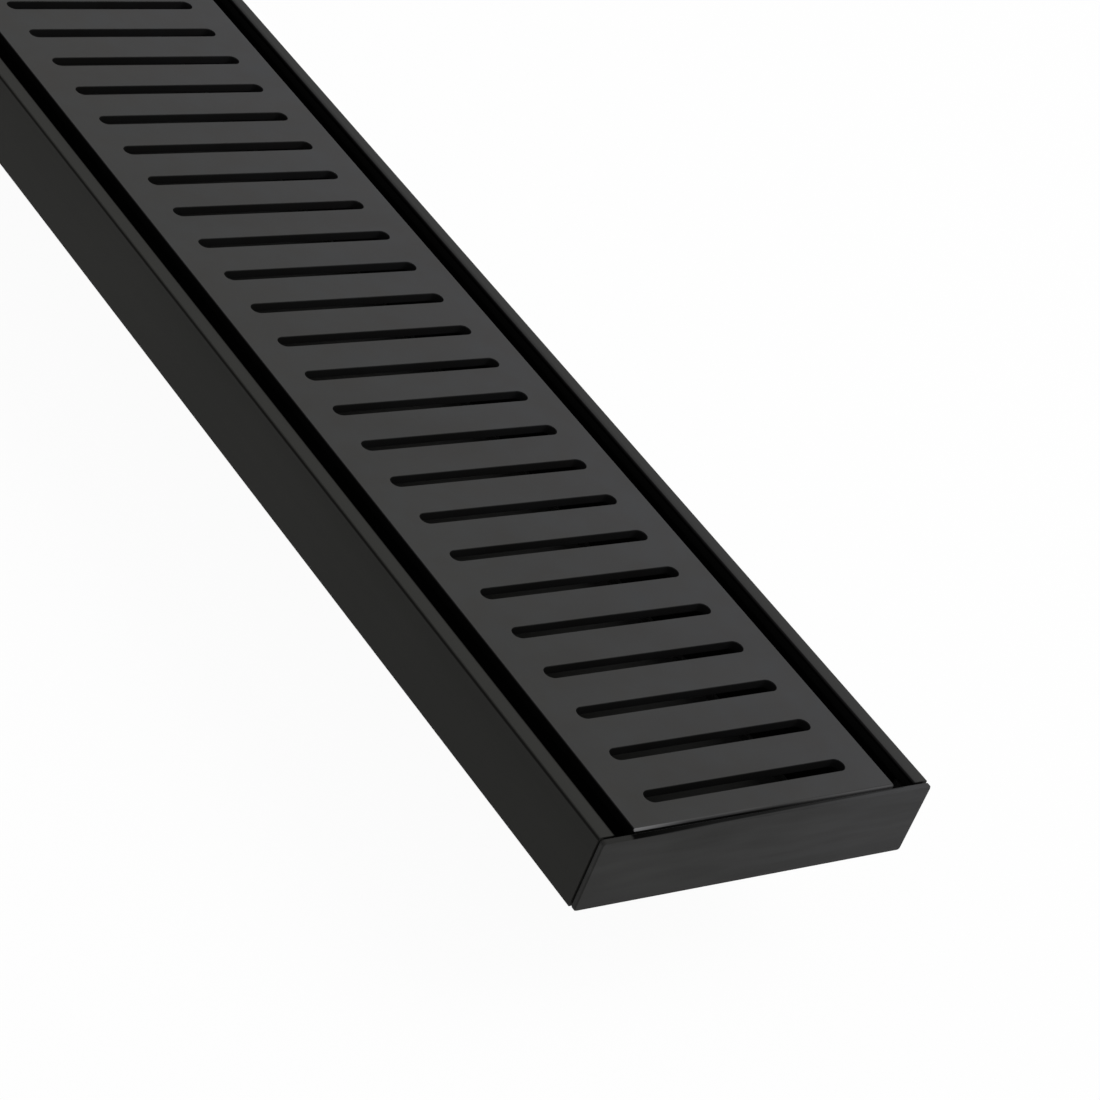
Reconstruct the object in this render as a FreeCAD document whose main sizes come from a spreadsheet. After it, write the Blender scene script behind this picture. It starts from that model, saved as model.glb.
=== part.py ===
"""Linear channel drain: an extruded aluminium trough with a drop-in slotted grate,
a closing plate bonded to each end and an outlet spigot bonded under the floor.

Frame: +Z up, +Y along the channel, +X across it. The origin is the centre of the
outlet's lower end, where the drain pipe's axis meets it. All sizes are millimetres.
"""
import FreeCAD, Part
import math
import os
import re

import Sketcher

PARTS_FOLDER = "parts"
MATCH = 1e-4  # two coordinates closer than this are the same

# Driving dimensions: alias, value, what it is.
DIMENSIONS = [
    ("overall_length", 900, "over both end caps"),
    ("channel_width", 100, "over the side walls"),
    ("channel_height", 21, "underside of the floor to the top of the rims"),
    ("wall_thickness", 2, "side walls below the rims"),
    ("floor_thickness", 2, "floor of the trough"),
    ("rim_width", 4.6, "across each rim"),
    ("rim_depth", 3, "height of each rim's thick head"),
    ("rim_edge_radius", 0.5, "top edges of the rims"),
    ("root_radius", 1, "inside corners of the extrusions"),
    ("rib_thickness", 1.2, "upstands on the floor that centre the grate"),
    ("rib_height", 2, "same, above the floor"),
    ("rib_clearance", 0.4, "each rib to the leg that straddles it"),
    ("side_gap", 5.85, "open gap between each rim and the grate"),
    ("end_clearance", 0.4, "grate's end to the end cap"),
    ("plate_thickness", 2.5, "top plate of the grate"),
    ("plate_edge_radius", 0.3, "upper edges along the plate's sides"),
    ("plate_end_bevel", 0.5, "upper edges at the plate's sawn ends"),
    ("leg_thickness", 2, "legs under the grate"),
    ("leg_margin", 0.8, "slot's tip to the inner face of the leg"),
    ("slot_length", 60.8, "over the rounded ends"),
    ("slot_width", 4.3, "across each slot"),
    ("slot_pitch", 14.61, "slot to slot"),
    ("slot_end_margin", 8, "least distance from the first slot's centre to the grate's end"),
    ("cap_thickness", 2, "end cap's plate"),
    ("cap_corner_radius", 1, "corners of the plate's outline"),
    ("cap_edge_bevel", 0.3, "bevel round the plate's outer face"),
    ("cap_seam_bevel", 0.8, "bevel round the plate's inner face, a groove at the seam"),
    ("tongue_thickness", 1.5, "tongues that the cap slides into the trough"),
    ("tongue_depth", 6, "how far the tongues reach in"),
    ("tongue_margin", 1.5, "wall tongue's ends to the floor and to the rim's head"),
    ("bond_gap", 0.15, "adhesive film round what is bonded"),
    ("spigot_diameter", 76, "outside of the outlet tube"),
    ("spigot_wall", 2, "outlet tube's wall"),
    ("spigot_length", 30, "outlet tube below its flange"),
    ("spigot_lead_in", 1, "chamfer on the tube's lower end"),
    ("flange_lip", 8, "flange beyond the tube, all round"),
    ("flange_thickness", 2.5, "bonding flange"),
]
ALIASES = [alias for alias, value, meaning in DIMENSIONS]

# Sizes that follow from the driving ones.
HALF_WIDTH = "channel_width / 2"
CHANNEL_LENGTH = "(overall_length - 2 * cap_thickness)"
CHANNEL_BASE = "(spigot_length + flange_thickness)"
FLOOR_LEVEL = f"({CHANNEL_BASE} + floor_thickness)"
RIM_INNER = f"({HALF_WIDTH} - rim_width)"
WALL_INNER = f"({HALF_WIDTH} - wall_thickness)"
RIM_UNDERSIDE = "(channel_height - rim_depth)"
PLATE_HALF_WIDTH = f"({RIM_INNER} - side_gap)"
PLATE_UNDERSIDE = "(channel_height - floor_thickness - plate_thickness)"
PLATE_TOP = "(channel_height - floor_thickness)"
GRATE_LENGTH = f"({CHANNEL_LENGTH} - 2 * end_clearance)"
LEG_INNER = "(slot_length / 2 + leg_margin)"
LEG_OUTER = f"({LEG_INNER} + leg_thickness)"
RIB_OUTER = f"({LEG_INNER} - rib_clearance)"
RIB_INNER = f"({RIB_OUTER} - rib_thickness)"
SLOT_COUNT = f"(floor(({GRATE_LENGTH} - 2 * slot_end_margin) / slot_pitch) + 1)"
FIRST_SLOT = f"(-({SLOT_COUNT} - 1) * slot_pitch / 2)"
SPIGOT_RADIUS = "spigot_diameter / 2"
SPIGOT_BORE = f"({SPIGOT_RADIUS} - spigot_wall)"

document = FreeCAD.newDocument("ChannelDrain")


def make_sheet():
    """The spreadsheet that drives every sub-part."""
    sheet = document.addObject("Spreadsheet::Sheet", "Dimensions")
    for row, (alias, value, meaning) in enumerate(DIMENSIONS, start=1):
        sheet.set(f"A{row}", alias)
        sheet.set(f"B{row}", str(value))
        sheet.setAlias(f"B{row}", alias)
        sheet.set(f"C{row}", meaning)
    document.recompute()
    return sheet


def bound(expression):
    """The same expression with each alias pointed at the spreadsheet."""
    return re.sub(
        r"[a-z_]+",
        lambda word: "Dimensions." + word.group() if word.group() in ALIASES else word.group(),
        expression,
    )


def value_of(expression):
    return float(sheet.evalExpression(bound(expression)))


def negative(expression):
    return f"-({expression})"


def new_body(label, height="0", along="0", turned=0):
    """An empty body whose own origin stands at the given height and place along the channel."""
    body = document.addObject("PartDesign::Body", label)
    body.Label = label
    body.Placement.Rotation = FreeCAD.Rotation(FreeCAD.Vector(0, 0, 1), turned)
    body.setExpression(".Placement.Base.y", bound(along))
    body.setExpression(".Placement.Base.z", bound(height))
    return body


def origin_feature(body, role):
    return next(feature for feature in body.Origin.OriginFeatures if feature.Role == role)


def new_sketch(body, name, plane, offset="0"):
    """A sketch on one of the body's own origin planes, raised off it by the offset."""
    sketch = body.newObject("Sketcher::SketchObject", name)
    sketch.AttachmentSupport = [(origin_feature(body, plane), "")]
    sketch.MapMode = "FlatFace"
    sketch.setExpression(".AttachmentOffset.Base.z", bound(offset))
    return sketch


def pin_point(sketch, name, geometry, point, across, up):
    """Holds a sketch point at a place given by two expressions."""
    for kind, suffix, expression in (("DistanceX", "across", across), ("DistanceY", "up", up)):
        constraint = Sketcher.Constraint(kind, -1, 1, geometry, point, value_of(expression))
        index = sketch.addConstraint(constraint)
        sketch.renameConstraint(index, f"{name}_{suffix}")
        sketch.setExpression(f"Constraints.{name}_{suffix}", bound(expression))


def draw_outline(sketch, name, corners):
    """A closed outline of straight sides through corners given as pairs of expressions."""
    points = [FreeCAD.Vector(value_of(across), value_of(up), 0) for across, up in corners]
    first = sketch.GeometryCount
    count = len(points)
    for index in range(count):
        sketch.addGeometry(Part.LineSegment(points[index], points[(index + 1) % count]))
    for index in range(count):
        following = first + (index + 1) % count
        sketch.addConstraint(Sketcher.Constraint("Coincident", first + index, 2, following, 1))
    for index, (across, up) in enumerate(corners):
        pin_point(sketch, f"{name}_{index}", first + index, 1, across, up)


def symmetric(half):
    """A half outline, given from its foot to its top on the +X side, and its mirror image."""
    mirrored = [(negative(across), up) for across, up in reversed(half)]
    return half + mirrored


def draw_rectangle(sketch, name, left, right, bottom, top):
    draw_outline(sketch, name, [(left, bottom), (right, bottom), (right, top), (left, top)])


def draw_slot(sketch, centre_up):
    """A straight slot across the channel with fully rounded ends."""
    radius = value_of("slot_width / 2")
    reach = value_of("(slot_length - slot_width) / 2")
    up = value_of(centre_up)
    normal = FreeCAD.Vector(0, 0, 1)
    quarter = math.pi / 2
    right_end = Part.Circle(FreeCAD.Vector(reach, up, 0), normal, radius)
    left_end = Part.Circle(FreeCAD.Vector(-reach, up, 0), normal, radius)
    corners = [
        FreeCAD.Vector(side * reach, up + level * radius, 0)
        for side, level in ((-1, -1), (1, -1), (1, 1), (-1, 1))
    ]
    sketch.addGeometry(Part.LineSegment(corners[0], corners[1]))
    sketch.addGeometry(Part.ArcOfCircle(right_end, -quarter, quarter))
    sketch.addGeometry(Part.LineSegment(corners[2], corners[3]))
    sketch.addGeometry(Part.ArcOfCircle(left_end, quarter, 3 * quarter))
    for side in range(4):
        following = (side + 1) % 4
        sketch.addConstraint(Sketcher.Constraint("Tangent", side, 2, following, 1))
    index = sketch.addConstraint(Sketcher.Constraint("Radius", 1, radius))
    sketch.renameConstraint(index, "end_radius")
    sketch.setExpression("Constraints.end_radius", bound("slot_width / 2"))
    pin_point(sketch, "right_end", 1, 3, "(slot_length - slot_width) / 2", centre_up)
    pin_point(sketch, "left_end", 3, 3, negative("(slot_length - slot_width) / 2"), centre_up)


def extrude(body, kind, name, sketch, length, symmetric_sides=False, reverse=False):
    """A Pad or a Pocket whose length is bound to an expression."""
    feature = body.newObject(f"PartDesign::{kind}", name)
    feature.Profile = sketch
    feature.SideType = "Symmetric" if symmetric_sides else "One side"
    feature.Reversed = reverse
    feature.Length = value_of(length)
    feature.setExpression("Length", bound(length))
    document.recompute()
    return feature


def on_line(position, points):
    """Whether a position, given by two coordinates, is one of the points."""
    return any(math.dist(position, point) < MATCH for point in points)


def edges_along(feature, points, along="y"):
    """Names of the straight edges that run along an axis through the points."""
    across = {"x": (1, 2), "y": (0, 2), "z": (0, 1)}[along]
    names = []
    for number, edge in enumerate(feature.Shape.Edges, start=1):
        ends = [tuple(vertex.Point[axis] for axis in across) for vertex in edge.Vertexes]
        if len(ends) == 2 and all(on_line(end, points) for end in ends) and math.dist(*ends) < MATCH:
            names.append(f"Edge{number}")
    return names


def edges_across(feature, place):
    """Names of the edges that lie across the channel, in the plane at the given place along it."""
    names = []
    for number, edge in enumerate(feature.Shape.Edges, start=1):
        if all(abs(vertex.Point.y - place) < MATCH for vertex in edge.Vertexes):
            names.append(f"Edge{number}")
    return names


def round_edges(body, name, base, edges, radius):
    """A fillet on named edges of the base feature."""
    fillet = body.newObject("PartDesign::Fillet", name)
    fillet.Base = (base, edges)
    fillet.Radius = value_of(radius)
    fillet.setExpression("Radius", bound(radius))
    document.recompute()
    return fillet


def bevel_edges(body, name, base, edges, size):
    """A chamfer on named edges of the base feature."""
    chamfer = body.newObject("PartDesign::Chamfer", name)
    chamfer.Base = (base, edges)
    chamfer.Size = value_of(size)
    chamfer.setExpression("Size", bound(size))
    document.recompute()
    return chamfer


def both_sides(*corners):
    """Corner places on the +X side, with their mirror images, as numbers."""
    right = [(value_of(across), value_of(up)) for across, up in corners]
    return right + [(-across, up) for across, up in right]


def make_channel_body():
    """The trough: thin walls and floor, thick flat rims, two low ribs and the outlet's hole."""
    body = new_body("channel_body", height=CHANNEL_BASE)
    profile = new_sketch(body, "trough_profile", "XZ_Plane")
    rib_top = "floor_thickness + rib_height"
    draw_outline(profile, "trough", symmetric([
        (HALF_WIDTH, "0"),
        (HALF_WIDTH, "channel_height"),
        (RIM_INNER, "channel_height"),
        (RIM_INNER, RIM_UNDERSIDE),
        (WALL_INNER, RIM_UNDERSIDE),
        (WALL_INNER, "floor_thickness"),
        (RIB_OUTER, "floor_thickness"),
        (RIB_OUTER, rib_top),
        (RIB_INNER, rib_top),
        (RIB_INNER, "floor_thickness"),
    ]))
    trough = extrude(body, "Pad", "trough", profile, CHANNEL_LENGTH, symmetric_sides=True)

    rim_edges = both_sides((HALF_WIDTH, "channel_height"), (RIM_INNER, "channel_height"))
    rims = round_edges(body, "rim_edges", trough, edges_along(trough, rim_edges), "rim_edge_radius")
    roots = both_sides((WALL_INNER, "floor_thickness"), (WALL_INNER, RIM_UNDERSIDE))
    rooted = round_edges(body, "root_fillets", rims, edges_along(rims, roots), "root_radius")

    hole = new_sketch(body, "outlet_hole_outline", "XY_Plane")
    radius = f"{SPIGOT_RADIUS} + bond_gap"
    hole.addGeometry(Part.Circle(FreeCAD.Vector(), FreeCAD.Vector(0, 0, 1), value_of(radius)))
    hole.addConstraint(Sketcher.Constraint("Coincident", 0, 3, -1, 1))
    index = hole.addConstraint(Sketcher.Constraint("Radius", 0, value_of(radius)))
    hole.renameConstraint(index, "hole_radius")
    hole.setExpression("Constraints.hole_radius", bound(radius))
    extrude(body, "Pocket", "outlet_hole", hole, rib_top, reverse=True)
    check_removed(rooted, body)
    return body


def make_slotted_grate():
    """The grate: one extrusion, a plate on two legs, with a row of cross slots."""
    body = new_body("slotted_grate", height=FLOOR_LEVEL)
    profile = new_sketch(body, "grate_profile", "XZ_Plane")
    draw_outline(profile, "grate", symmetric([
        (LEG_INNER, PLATE_UNDERSIDE),
        (LEG_INNER, "0"),
        (LEG_OUTER, "0"),
        (LEG_OUTER, PLATE_UNDERSIDE),
        (PLATE_HALF_WIDTH, PLATE_UNDERSIDE),
        (PLATE_HALF_WIDTH, PLATE_TOP),
    ]))
    blank = extrude(body, "Pad", "grate_blank", profile, GRATE_LENGTH, symmetric_sides=True)

    half_length = value_of(GRATE_LENGTH) / 2
    top = value_of(PLATE_TOP)
    end_edges = edges_along(blank, [(-half_length, top), (half_length, top)], along="x")
    ended = bevel_edges(body, "plate_ends", blank, end_edges, "plate_end_bevel")
    side_edges = edges_along(ended, both_sides((PLATE_HALF_WIDTH, PLATE_TOP)))
    eased = round_edges(body, "plate_sides", ended, side_edges, "plate_edge_radius")
    roots = edges_along(eased, both_sides((LEG_OUTER, PLATE_UNDERSIDE)))
    rooted = round_edges(body, "leg_roots", eased, roots, "root_radius")

    outline = new_sketch(body, "slot_outline", "XY_Plane", offset=PLATE_TOP)
    draw_slot(outline, FIRST_SLOT)
    slot = extrude(body, "Pocket", "slot", outline, "plate_thickness + root_radius")
    check_removed(rooted, body)

    row = body.newObject("PartDesign::LinearPattern", "slot_row")
    row.Originals = [slot]
    row.Direction = (origin_feature(body, "Y_Axis"), [""])
    row.Mode = "Spacing"
    row.Offset = value_of("slot_pitch")
    row.setExpression("Offset", bound("slot_pitch"))
    row.Occurrences = int(value_of(SLOT_COUNT))
    row.setExpression("Occurrences", bound(SLOT_COUNT))
    body.Tip = row
    document.recompute()
    return body


def make_end_cap(label, side):
    """A closing plate with three tongues. Its own origin lies on the trough's end face."""
    turned = 0 if side < 0 else 180
    end_face = f"{side} * {CHANNEL_LENGTH} / 2"
    body = new_body(label, height=CHANNEL_BASE, along=end_face, turned=turned)
    outline = new_sketch(body, "plate_outline", "XZ_Plane")
    draw_rectangle(outline, "plate", negative(HALF_WIDTH), HALF_WIDTH, "0", "channel_height")
    plate = extrude(body, "Pad", "plate", outline, "cap_thickness")
    corners = edges_along(plate, both_sides((HALF_WIDTH, "0"), (HALF_WIDTH, "channel_height")))
    rounded = round_edges(body, "plate_corners", plate, corners, "cap_corner_radius")
    outer_rim = edges_across(rounded, -value_of("cap_thickness"))
    eased = bevel_edges(body, "outer_bevel", rounded, outer_rim, "cap_edge_bevel")
    bevel_edges(body, "seam_bevel", eased, edges_across(eased, 0), "cap_seam_bevel")

    tongues = new_sketch(body, "tongue_outlines", "XZ_Plane")
    floor_side = f"({RIB_INNER} - bond_gap)"
    floor_foot = "floor_thickness + bond_gap"
    draw_rectangle(
        tongues, "floor", negative(floor_side), floor_side, floor_foot, f"{floor_foot} + tongue_thickness"
    )
    outer = f"({WALL_INNER} - bond_gap)"
    inner = f"({outer} - tongue_thickness)"
    foot = "floor_thickness + tongue_margin"
    head = f"{RIM_UNDERSIDE} - tongue_margin"
    draw_rectangle(tongues, "right", inner, outer, foot, head)
    draw_rectangle(tongues, "left", negative(outer), negative(inner), foot, head)
    extrude(body, "Pad", "tongues", tongues, "tongue_depth", reverse=True)
    return body


def make_outlet_spigot():
    """The outlet: a tube with a bonding flange, and a collar that fills the hole in the floor."""
    body = new_body("outlet_spigot")
    profile = new_sketch(body, "spigot_profile", "XZ_Plane")
    flange_radius = f"{SPIGOT_RADIUS} + flange_lip"
    draw_outline(profile, "spigot", [
        (SPIGOT_BORE, "0"),
        (f"{SPIGOT_RADIUS} - spigot_lead_in", "0"),
        (SPIGOT_RADIUS, "spigot_lead_in"),
        (SPIGOT_RADIUS, "spigot_length"),
        (flange_radius, "spigot_length"),
        (flange_radius, CHANNEL_BASE),
        (SPIGOT_RADIUS, CHANNEL_BASE),
        (SPIGOT_RADIUS, FLOOR_LEVEL),
        (SPIGOT_BORE, FLOOR_LEVEL),
    ])
    turned = body.newObject("PartDesign::Revolution", "turned_form")
    turned.Profile = profile
    turned.ReferenceAxis = (profile, ["V_Axis"])
    turned.Angle = 360
    document.recompute()
    return body


def check_removed(before, body):
    """Stops the build if the last cut took nothing away."""
    if body.Tip.Shape.Volume >= before.Shape.Volume - MATCH:
        raise RuntimeError(f"{body.Tip.Label} cuts nothing")


def check_model(bodies):
    """Every object is up to date and every sub-part is one closed, valid solid."""
    for item in document.Objects:
        if "Invalid" in item.State or "Error" in item.State:
            raise RuntimeError(f"{item.Label} failed: {item.State}")
    for body in bodies:
        shape = body.Shape
        if shape.isNull() or not shape.isValid() or len(shape.Solids) != 1:
            raise RuntimeError(f"{body.Label} isn't one valid solid")


def export(bodies):
    os.makedirs(PARTS_FOLDER, exist_ok=True)
    for body in bodies:
        body.Shape.exportStep(os.path.join(PARTS_FOLDER, body.Label + ".step"))


sheet = make_sheet()
bodies = [
    make_channel_body(),
    make_slotted_grate(),
    make_end_cap("end_cap_near", side=-1),
    make_end_cap("end_cap_far", side=1),
    make_outlet_spigot(),
]
document.recompute()
check_model(bodies)
export(bodies)
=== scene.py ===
import math

import bpy
from mathutils import Matrix, Vector


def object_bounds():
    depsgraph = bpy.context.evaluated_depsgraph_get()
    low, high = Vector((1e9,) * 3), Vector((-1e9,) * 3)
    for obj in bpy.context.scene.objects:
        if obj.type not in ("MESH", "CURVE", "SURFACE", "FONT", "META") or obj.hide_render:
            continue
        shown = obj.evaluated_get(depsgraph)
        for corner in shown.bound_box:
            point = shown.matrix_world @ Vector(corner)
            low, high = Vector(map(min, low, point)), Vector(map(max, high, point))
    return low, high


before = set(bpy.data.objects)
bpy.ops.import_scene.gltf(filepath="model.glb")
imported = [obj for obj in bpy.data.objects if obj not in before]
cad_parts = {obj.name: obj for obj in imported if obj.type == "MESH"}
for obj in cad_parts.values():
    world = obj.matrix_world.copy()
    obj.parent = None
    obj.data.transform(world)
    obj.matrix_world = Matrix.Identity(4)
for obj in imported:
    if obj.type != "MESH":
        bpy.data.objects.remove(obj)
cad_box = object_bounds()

MM = 0.001
HALF_WIDTH, HALF_LENGTH, TOP = cad_box[1]

# The drain's own sizes, in mm
HEIGHT = 21
RIM_WIDTH = 4.6
GRATE_INSET = 10.45  # from the outer wall in to the grate's side
GRATE_END_INSET = 2.4  # from the cap's outer face in to the grate's end

# The camera looks at a point on the grate's top, near the drain's near end.
# Angles are in degrees, and an azimuth turns from +Y towards +X.
CAMERA_LENS = 119.05  # mm
CAMERA_SENSOR = 36.0  # mm
CAMERA_AZIMUTH = 45.853
CAMERA_ELEVATION = -32.682
CAMERA_ROLL = 22.6
CAMERA_DISTANCE = 0.8938
CAMERA_CLIP = (0.05, 100)
AIM_FROM_NEAR_END = 0.09764
AIM_ACROSS = -0.0013

# Studio
FLOOR_REACH = 12.0
FLOOR_COLOUR = (0.86, 0.86, 0.86)
BACKGROUND_SHARE = 0.96  # of the floor's white, what the camera sees whatever light falls on it
WORLD_STRENGTH = 0.55
KEY_AZIMUTH = 110
KEY_ELEVATION = 50
KEY_DISTANCE = 2.0
KEY_SIZE = 1.6
KEY_POWER = 30  # W

# Finishes, with linear colours
CHANNEL_COLOUR = (0.0270, 0.0270, 0.0250)
GRATE_COLOUR = (0.0345, 0.0345, 0.0334)
CAP_COLOUR = (0.0235, 0.0235, 0.0227)
SPIGOT_COLOUR = (0.0160, 0.0160, 0.0162)
# The colour of a painted highlight on the grate's upper end edges:
PAINTED_HIGHLIGHT_COLOUR = (0.2200, 0.2200, 0.2250)
DUST_COLOUR = (0.0700, 0.0680, 0.0640)
COOL_SIDE = 1.06  # the coats' blue on the +X side, against that on the -X side
COAT_GRAIN = (0.5 * MM, 0.08, 0.03 * MM)  # size, strength and depth of the coats' fine bumps
SEAM_SHADOW_TAPER = 0.0135  # how much the painted shadow in the seam at a cap narrows for its run to the right


# ---------------------------------------------------------------- node helpers

class Graph:
    """Adds nodes to one node tree and links their sockets."""

    def __init__(self, tree):
        self.tree = tree
        self.tree.nodes.clear()

    def node(self, kind, **settings):
        made = self.tree.nodes.new(kind)
        for name, value in settings.items():
            setattr(made, name, value)
        return made

    def link(self, source, target):
        self.tree.links.new(source, target)

    def feed(self, socket, value):
        """Links the value if it is a socket, and sets it if it is a number or a colour."""
        if isinstance(value, bpy.types.NodeSocket):
            self.link(value, socket)
        else:
            socket.default_value = value

    def maths(self, operation, first, second=0.0, third=0.0):
        made = self.node("ShaderNodeMath", operation=operation)
        for socket, value in zip(made.inputs, (first, second, third)):
            self.feed(socket, value)
        return made.outputs[0]

    def product(self, *masks):
        result = masks[0]
        for mask in masks[1:]:
            result = self.maths("MULTIPLY", result, mask)
        return result

    def ramp(self, value, low, high, out_low=0.0, out_high=1.0):
        """Maps a range of the value smoothly onto another range, held at its ends."""
        made = self.node("ShaderNodeMapRange", interpolation_type="SMOOTHSTEP")
        places = ("Value", "From Min", "From Max", "To Min", "To Max")
        for place, setting in zip(places, (value, low, high, out_low, out_high)):
            self.feed(made.inputs[place], setting)
        return made.outputs["Result"]

    def band(self, value, low, high, soft):
        """1 between two values, falling off over a soft distance outside them."""
        return self.product(
            self.ramp(value, low - soft, low), self.ramp(value, high + soft, high)
        )

    def mix_value(self, share, first, second):
        made = self.node("ShaderNodeMix", data_type="FLOAT")
        for place, value in zip(("Factor", "A", "B"), (share, first, second)):
            self.feed(made.inputs[place], value)
        return made.outputs["Result"]

    def noise(self, vector, scale, detail=2.0, output="Fac"):
        made = self.node("ShaderNodeTexNoise")
        self.feed(made.inputs["Vector"], vector)
        made.inputs["Scale"].default_value = scale
        made.inputs["Detail"].default_value = detail
        return made.outputs[output]

    def warped(self, vector, amount):
        """The same coordinates, pushed about by a broad noise."""
        push = self.scaled(self.noise(vector, 0.7, output="Color"), amount)
        made = self.node("ShaderNodeVectorMath", operation="ADD")
        self.feed(made.inputs[0], vector)
        self.feed(made.inputs[1], push)
        return made.outputs["Vector"]

    def stretched(self, vector, scale):
        made = self.node("ShaderNodeMapping")
        self.feed(made.inputs["Vector"], vector)
        made.inputs["Scale"].default_value = scale
        return made.outputs["Vector"]

    def scaled(self, colour, factor):
        made = self.node("ShaderNodeVectorMath", operation="SCALE")
        self.feed(made.inputs["Vector"], colour)
        self.feed(made.inputs["Scale"], factor)
        return made.outputs["Vector"]

    def mix_colour(self, share, first, second):
        made = self.node("ShaderNodeMix", data_type="RGBA")
        self.feed(made.inputs["Factor"], share)
        self.feed(made.inputs["A"], first)
        self.feed(made.inputs["B"], second)
        return made.outputs["Result"]


class Finish:
    """A coat or moulded skin whose colour and roughness are built up mark by mark."""

    def __init__(self, name, colour, roughness, specular):
        self.material = bpy.data.materials.new(name)
        self.material.use_nodes = True
        self.graph = graph = Graph(self.material.node_tree)
        self.shader = graph.node("ShaderNodeBsdfPrincipled")
        self.shader.inputs["Specular IOR Level"].default_value = specular
        self.dullness = 0.0
        self.place = graph.node("ShaderNodeTexCoord").outputs["Object"]
        split = graph.node("ShaderNodeSeparateXYZ")
        graph.link(self.place, split.inputs[0])
        self.x, self.y, self.z = split.outputs
        self.side = graph.maths("ABSOLUTE", self.x)
        self.length = graph.maths("ABSOLUTE", self.y)
        cool = (*colour[:2], colour[2] * COOL_SIDE, 1)
        self.colour = graph.mix_colour(self.left_to_right(0, 1), (*colour, 1), cool)
        self.roughness = roughness

    def rightwards(self):
        """The place across the drain, towards the right of whoever faces the nearer end."""
        end = self.graph.maths("SIGN", self.y)
        return self.graph.product(self.x, self.graph.maths("MULTIPLY", end, -1))

    def down(self, start, end):
        """0 at one depth under the top and 1 at another, both in mm."""
        return self.graph.ramp(self.z, TOP - start * MM, TOP - end * MM)

    def inwards(self, start, end):
        """0 at one distance in from the outer walls and 1 at another, both in mm."""
        return self.graph.ramp(self.side, HALF_WIDTH - start * MM, HALF_WIDTH - end * MM)

    def from_end(self, start, end):
        """0 at one distance from the drain's ends and 1 at another, both in mm."""
        return self.graph.ramp(self.length, HALF_LENGTH - start * MM, HALF_LENGTH - end * MM)

    def left_to_right(self, left, right):
        """One value at the -X wall and another at the +X wall."""
        return self.graph.ramp(self.x, -HALF_WIDTH, HALF_WIDTH, left, right)

    def end_to_middle(self, end, middle):
        """One value at the drain's ends and another over its middle part."""
        return self.graph.ramp(self.length, HALF_LENGTH, HALF_LENGTH / 4, end, middle)

    def blotches(self, vector, scale, share, warmth=0.0):
        """Soft clouds, lighter and cooler or darker and warmer by a share of the colour."""
        graph = self.graph
        clouds = graph.noise(vector, scale)
        spread = graph.ramp(clouds, 0.3, 0.7, -share, share)
        self.colour = graph.scaled(self.colour, graph.maths("ADD", spread, 1))
        if warmth:
            warm = (1 + warmth, 1, 1 - warmth, 1)
            cool = (1 - warmth, 1, 1 + warmth, 1)
            made = graph.node("ShaderNodeVectorMath", operation="MULTIPLY")
            graph.feed(made.inputs[0], self.colour)
            graph.feed(made.inputs[1], graph.mix_colour(clouds, warm, cool))
            self.colour = made.outputs["Vector"]
        return clouds

    def shade(self, mask, factor):
        """Takes the colour to a share of itself where the mask is 1."""
        change = self.graph.maths("SUBTRACT", factor, 1)
        amount = self.graph.maths("MULTIPLY_ADD", mask, change, 1)
        self.colour = self.graph.scaled(self.colour, amount)

    def cover(self, mask, colour, roughness=None):
        """Lays another colour, and with it another roughness, over the finish."""
        self.colour = self.graph.mix_colour(mask, self.colour, (*colour, 1))
        if roughness is not None:
            uncovered = self.graph.maths("SUBTRACT", 1, mask)
            kept = self.graph.maths("MULTIPLY", uncovered, self.roughness)
            self.roughness = self.graph.maths("MULTIPLY_ADD", mask, roughness, kept)

    def deaden(self, mask):
        """Takes the sheen off where the mask is 1, as painted shade."""
        self.dullness = self.graph.maths("MAXIMUM", self.dullness, mask)

    def vary_roughness(self, clouds, amount):
        self.roughness = self.graph.maths(
            "ADD", self.roughness, self.graph.ramp(clouds, 0.3, 0.7, -amount, amount)
        )

    def grain(self, size, strength, depth):
        """Fine bumps of a given size all over the surface."""
        heights = self.graph.noise(self.place, 1 / size, detail=3.0)
        bump = self.graph.node("ShaderNodeBump")
        bump.inputs["Strength"].default_value = strength
        bump.inputs["Distance"].default_value = depth
        self.graph.link(heights, bump.inputs["Height"])
        self.graph.link(bump.outputs["Normal"], self.shader.inputs["Normal"])

    def done(self):
        graph = self.graph
        graph.feed(self.shader.inputs["Base Color"], self.colour)
        graph.feed(self.shader.inputs["Roughness"], self.roughness)
        dull = graph.node("ShaderNodeBsdfDiffuse")
        graph.link(self.colour, dull.inputs["Color"])
        mix = graph.node("ShaderNodeMixShader")
        graph.feed(mix.inputs["Fac"], self.dullness)
        graph.link(self.shader.outputs["BSDF"], mix.inputs[1])
        graph.link(dull.outputs["BSDF"], mix.inputs[2])
        output = graph.node("ShaderNodeOutputMaterial")
        graph.link(mix.outputs[0], output.inputs["Surface"])
        return self.material


# ---------------------------------------------------------------- finishes

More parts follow.
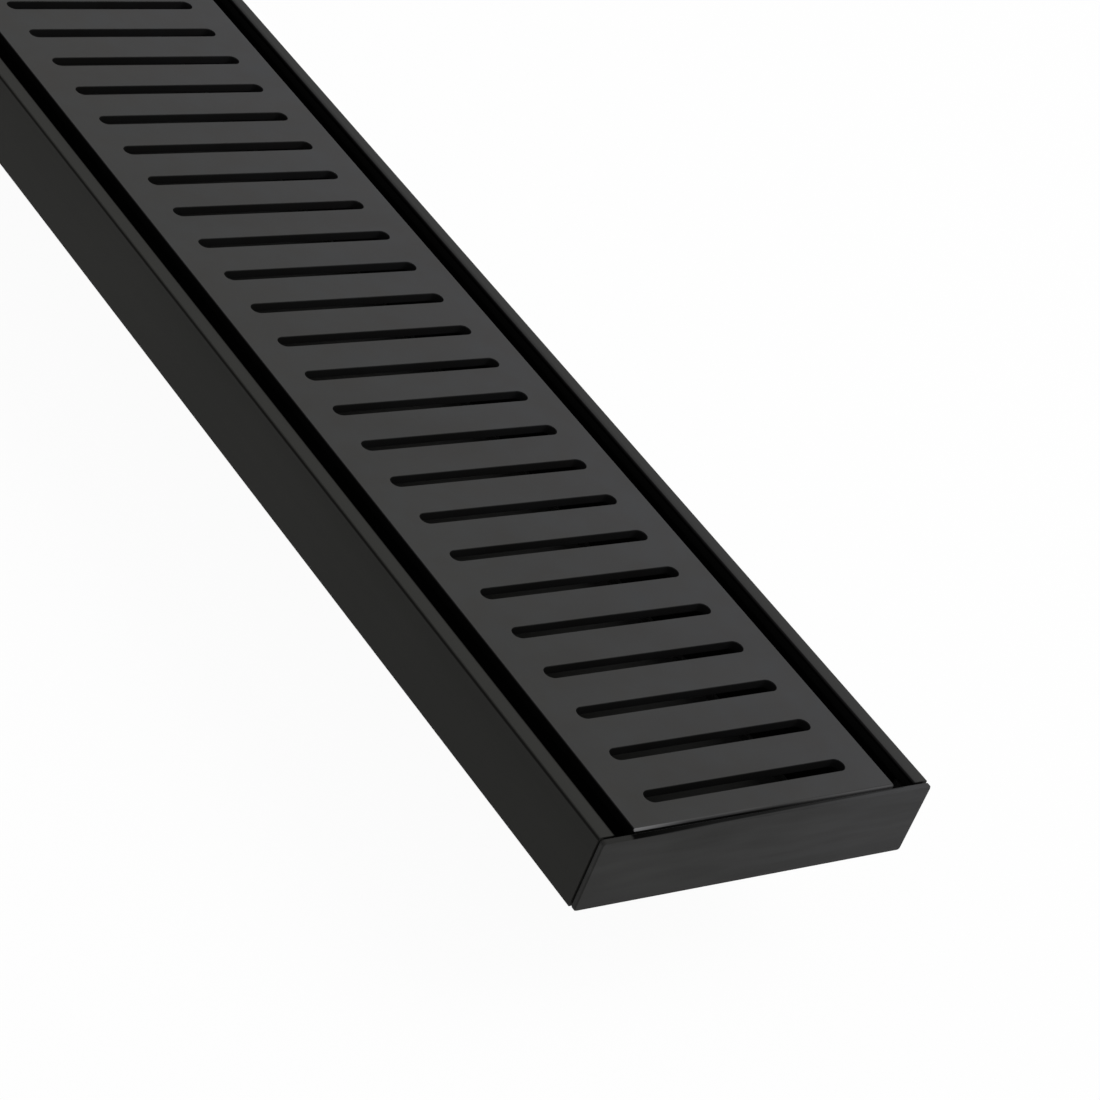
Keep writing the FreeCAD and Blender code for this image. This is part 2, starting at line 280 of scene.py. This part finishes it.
def channel_finish():
    """Matt coat on the trough: painted shade inside it and on the rims' edges, painted light on the
    rims and outer walls, a little dust outside.
    """
    finish = Finish("channel_powder_coat", CHANNEL_COLOUR, roughness=0.55, specular=0.05)
    graph = finish.graph
    clouds = finish.blotches(finish.place, 16.0, 0.05, warmth=0.015)
    finish.blotches(graph.stretched(finish.place, (260, 4, 260)), 1.0, 0.03)
    finish.vary_roughness(clouds, 0.04)
    outside = finish.inwards(0.4, 0.1)
    # Painted light: the outer walls darker towards the ends and a little darker near the top.
    finish.shade(outside, finish.end_to_middle(0.92, 1.2))
    finish.shade(graph.product(outside, finish.down(9.5, 0)), 0.92)
    shade_hollow(finish)
    shade_rims(finish, outside)
    scuffs = graph.noise(graph.stretched(finish.place, (900, 160, 900)), 1.0, detail=4.0)
    foot = finish.down(HEIGHT - 0.8, HEIGHT)
    finish.cover(graph.product(outside, foot, graph.ramp(scuffs, 0.58, 0.7, 0, 0.5)), DUST_COLOUR)
    finish.grain(*COAT_GRAIN)
    return finish.done()


def shade_hollow(finish):
    """The inside of the trough: no sheen, painted shade that is darkest along the walls beside the
    grate's legs, and painted light and shade under the grate, darker to the left and lighter to the
    right.
    """
    graph = finish.graph
    above_floor = finish.down(HEIGHT - 0.8, HEIGHT - 1.4)
    hollow = graph.product(finish.inwards(1.2, 1.6), above_floor, finish.down(0.15, 0.4))
    painted_light_under_grate = graph.ramp(finish.x, -30 * MM, 30 * MM, 0.55, 2.0)
    # Painted shade in the trough, nearly black beside the legs, and painted light under the grate
    # that grows to the right.
    finish.shade(hollow, graph.mix_value(finish.inwards(18, 17), painted_light_under_grate, 0.25))
    finish.deaden(hollow)


def shade_rims(finish, outside):
    """Painted light and shade on the rims: lighter on top and more so to the right, dark at both
    edges, the right one's slot side in painted shade.
    """
    graph = finish.graph
    head = finish.down(1.0, 0.7)
    # Painted light: the rims' tops lighter, more so to the right.
    finish.shade(head, finish.left_to_right(1.07, 1.3))
    inner_edge = graph.product(head, finish.inwards(RIM_WIDTH - 0.8, RIM_WIDTH - 0.3))
    # Painted shade along the rims' inner edges.
    finish.shade(inner_edge, 0.3)
    finish.deaden(inner_edge)
    slot_side = graph.band(
        finish.x, HALF_WIDTH / 2, HALF_WIDTH - (RIM_WIDTH - 0.4) * MM, 1.7 * MM
    )
    inside_end = graph.ramp(finish.length, HALF_LENGTH - 20 * MM, HALF_LENGTH / 2, 0.3, 1)
    # Painted shade on the right rim's slot side.
    finish.shade(graph.product(head, inside_end, slot_side), 0.35)
    outer_edge = graph.product(head, outside, finish.down(0.12, 0.25))
    # Painted shade along the rims' outer edges.
    finish.shade(outer_edge, 0.5)
    finish.deaden(outer_edge)


def grate_finish():
    """Matt coat on the grate, with painted light that grows to the right and towards the middle, a
    painted highlight along the end edges, and painted shade in the slots and below.
    """
    finish = Finish("grate_powder_coat", GRATE_COLOUR, roughness=0.5, specular=0.12)
    clouds = finish.blotches(finish.place, 40.0, 0.08, warmth=0.03)
    finish.blotches(finish.place, 130.0, 0.03, warmth=0.05)
    finish.blotches(finish.graph.stretched(finish.place, (12, 60, 12)), 1.0, 0.03)
    finish.vary_roughness(clouds, 0.04)
    # Painted light: lighter to the right and towards the middle.
    finish.shade(1.0, finish.left_to_right(0.93, 1.1))
    finish.shade(1.0, finish.end_to_middle(0.97, 1.06))
    below = finish.down(0.1, 0.4)
    side_edge = finish.inwards(GRATE_INSET + 0.35, GRATE_INSET + 0.1)
    # Painted shade in the slots, under the top and along the side edges.
    finish.shade(below, 0.32)
    finish.shade(side_edge, 0.4)
    finish.deaden(below)
    finish.deaden(side_edge)
    # Painted light and a painted highlight at the grate's ends.
    paint_grate_end_light(finish, below)
    finish.grain(*COAT_GRAIN)
    return finish.done()


def paint_grate_end_light(finish, below):
    """Painted light on the grate's end faces, lighter to the right, and a painted highlight on
    their upper edges, brightest to the left.
    """
    graph = finish.graph
    end = finish.from_end(GRATE_END_INSET + 0.6, GRATE_END_INSET + 0.45)
    across = finish.rightwards()
    face = graph.product(end, finish.down(1.6, 1.2), below)
    # Painted light on the end faces, growing to the right.
    finish.shade(face, graph.ramp(across, -10 * MM, 30 * MM, 1, 6))
    faint = graph.ramp(across, 10 * MM, -10 * MM, 0, 0.12)
    bright = graph.ramp(across, -22 * MM, -40 * MM, 0, 0.6)
    # Painted highlight along the upper end edges, brightest to the left.
    painted_highlight = graph.product(end, finish.down(0.55, 0.45), graph.maths("ADD", faint, bright))
    finish.cover(painted_highlight, PAINTED_HIGHLIGHT_COLOUR, roughness=0.35)


def cap_finish():
    """Matt coat on the end caps, streaked across, with painted light and shade, and a painted
    shadow in the seam with the grate.
    """
    finish = Finish("cap_powder_coat", CAP_COLOUR, roughness=0.5, specular=0.1)
    graph = finish.graph
    streaks = graph.stretched(finish.place, (34, 34, 260))
    finish.blotches(graph.warped(streaks, 0.8), 1.0, 0.16, warmth=0.02)
    clouds = finish.blotches(finish.place, 45.0, 0.06)
    finish.vary_roughness(clouds, 0.05)
    across = finish.rightwards()
    # Painted light: lighter to the right.
    finish.shade(1.0, graph.ramp(across, -20 * MM, HALF_WIDTH, 0.95, 1.35))
    # Painted shade: darker low down and slightly darker just under the top.
    finish.shade(finish.down(12, 18), 0.86)
    finish.shade(finish.down(8, 2), 0.95)
    # Painted shade on the top face: its sheen taken off and its colour set so that it reads like
    # the front.
    upper = finish.down(0.5, 0.2)
    finish.shade(upper, 1.65)
    finish.deaden(upper)
    # Painted shadow in the seam with the grate.
    shade_seam(finish, upper, across)
    finish.grain(*COAT_GRAIN)
    return finish.done()


def shade_seam(finish, upper, across):
    """Painted shadow on the cap's upper edge beside the grate: dark, less so and less wide towards
    the right.
    """
    graph = finish.graph
    reach = graph.maths("MULTIPLY_ADD", across, -SEAM_SHADOW_TAPER, HALF_LENGTH - 0.45 * MM)
    inner = graph.ramp(graph.maths("SUBTRACT", finish.length, reach), 0.15 * MM, -0.15 * MM)
    beside_grate = finish.inwards(GRATE_INSET - 2.45, GRATE_INSET - 1.45)
    depth = graph.ramp(across, -HALF_WIDTH, HALF_WIDTH, 0.08, 0.6)
    finish.shade(graph.product(upper, inner, beside_grate), depth)


def spigot_finish():
    """Moulded plastic with a faint mottle and scuffs near the tube's lower end."""
    finish = Finish("spigot_moulded_pvc", SPIGOT_COLOUR, roughness=0.42, specular=0.3)
    graph = finish.graph
    clouds = finish.blotches(finish.place, 60.0, 0.08, warmth=0.01)
    finish.vary_roughness(clouds, 0.06)
    scuffs = graph.noise(graph.stretched(finish.place, (120, 120, 900)), 1.0, detail=4.0)
    low = graph.ramp(finish.z, 14 * MM, 2 * MM)
    dusty = graph.product(low, graph.ramp(scuffs, 0.56, 0.72, 0, 0.5))
    finish.cover(dusty, DUST_COLOUR, roughness=0.6)
    finish.grain(0.35 * MM, 0.12, 0.03 * MM)
    return finish.done()


def dress(node, material):
    """Puts a material in every slot of a CAD node."""
    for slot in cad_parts[node].material_slots:
        slot.material = material


# ---------------------------------------------------------------- studio

def make_floor():
    """A pale floor under the outlet's end, far larger than the drain."""
    mesh = bpy.data.meshes.new("floor")
    reach = FLOOR_REACH
    corners = [(-reach, -reach, 0), (reach, -reach, 0), (reach, reach, 0), (-reach, reach, 0)]
    mesh.from_pydata(corners, [], [(0, 1, 2, 3)])
    mesh.materials.append(floor_material())
    floor = bpy.data.objects.new("floor", mesh)
    bpy.context.scene.collection.objects.link(floor)


def floor_material():
    """White to the camera, with the drain's soft shadow, and pale to the light."""
    material = bpy.data.materials.new("pale_floor")
    material.use_nodes = True
    graph = Graph(material.node_tree)
    diffuse = graph.node("ShaderNodeBsdfDiffuse")
    diffuse.inputs["Color"].default_value = (*FLOOR_COLOUR, 1)
    white = graph.node("ShaderNodeEmission")
    mix = graph.node("ShaderNodeMixShader")
    graph.link(graph.maths("MULTIPLY", seen_directly(graph), BACKGROUND_SHARE), mix.inputs["Fac"])
    graph.link(diffuse.outputs[0], mix.inputs[1])
    graph.link(white.outputs[0], mix.inputs[2])
    output = graph.node("ShaderNodeOutputMaterial")
    graph.link(mix.outputs[0], output.inputs["Surface"])
    return material


def seen_directly(graph):
    """1 for rays from the camera and for mirrored and transmitted ones."""
    path = graph.node("ShaderNodeLightPath")
    seen = graph.maths("MAXIMUM", path.outputs["Is Camera Ray"], path.outputs["Is Glossy Ray"])
    return graph.maths("MAXIMUM", seen, path.outputs["Is Transmission Ray"])


def make_world():
    """Even light from all round, and white where the camera sees past the floor."""
    world = bpy.data.worlds.new("studio")
    world.use_nodes = True
    graph = Graph(world.node_tree)
    background = graph.node("ShaderNodeBackground")
    strength = graph.ramp(seen_directly(graph), 0, 1, WORLD_STRENGTH, 1.0)
    graph.link(strength, background.inputs["Strength"])
    output = graph.node("ShaderNodeOutputWorld")
    graph.link(background.outputs[0], output.inputs["Surface"])
    bpy.context.scene.world = world


def direction(azimuth, elevation):
    """The unit vector that points at an azimuth and an elevation."""
    turn, rise = math.radians(azimuth), math.radians(elevation)
    level = math.cos(rise)
    return Vector((math.sin(turn) * level, math.cos(turn) * level, math.sin(rise)))


def make_key_light(aim):
    """A large square softbox that faces the aim point."""
    light = bpy.data.lights.new("key", "AREA")
    light.shape = "SQUARE"
    light.size = KEY_SIZE
    light.energy = KEY_POWER
    lamp = bpy.data.objects.new("key", light)
    towards = direction(KEY_AZIMUTH, KEY_ELEVATION)
    lamp.location = aim + towards * KEY_DISTANCE
    lamp.rotation_mode = "QUATERNION"
    lamp.rotation_quaternion = towards.to_track_quat("Z", "Y")
    bpy.context.scene.collection.objects.link(lamp)


def make_camera(aim):
    """The photo's camera, rolled about its line of sight."""
    data = bpy.data.cameras.new("camera")
    data.lens = CAMERA_LENS
    data.sensor_width = CAMERA_SENSOR
    data.clip_start, data.clip_end = CAMERA_CLIP
    camera = bpy.data.objects.new("camera", data)
    forward = direction(CAMERA_AZIMUTH, CAMERA_ELEVATION)
    level = Vector((forward.y, -forward.x, 0)).normalized()
    upright = level.cross(forward)
    roll = math.radians(CAMERA_ROLL)
    right = level * math.cos(roll) + upright * math.sin(roll)
    up = upright * math.cos(roll) - level * math.sin(roll)
    turned = Matrix((right, up, -forward)).transposed()
    camera.matrix_world = Matrix.Translation(aim - forward * CAMERA_DISTANCE) @ turned.to_4x4()
    bpy.context.scene.collection.objects.link(camera)
    bpy.context.scene.camera = camera


dress("channel_body", channel_finish())
dress("slotted_grate", grate_finish())
cap_material = cap_finish()
dress("end_cap_near", cap_material)
dress("end_cap_far", cap_material)
dress("outlet_spigot", spigot_finish())

aim = Vector((AIM_ACROSS, AIM_FROM_NEAR_END - HALF_LENGTH, TOP))
make_floor()
make_world()
make_key_light(aim)
make_camera(aim)
bpy.context.scene.view_settings.view_transform = "Standard"
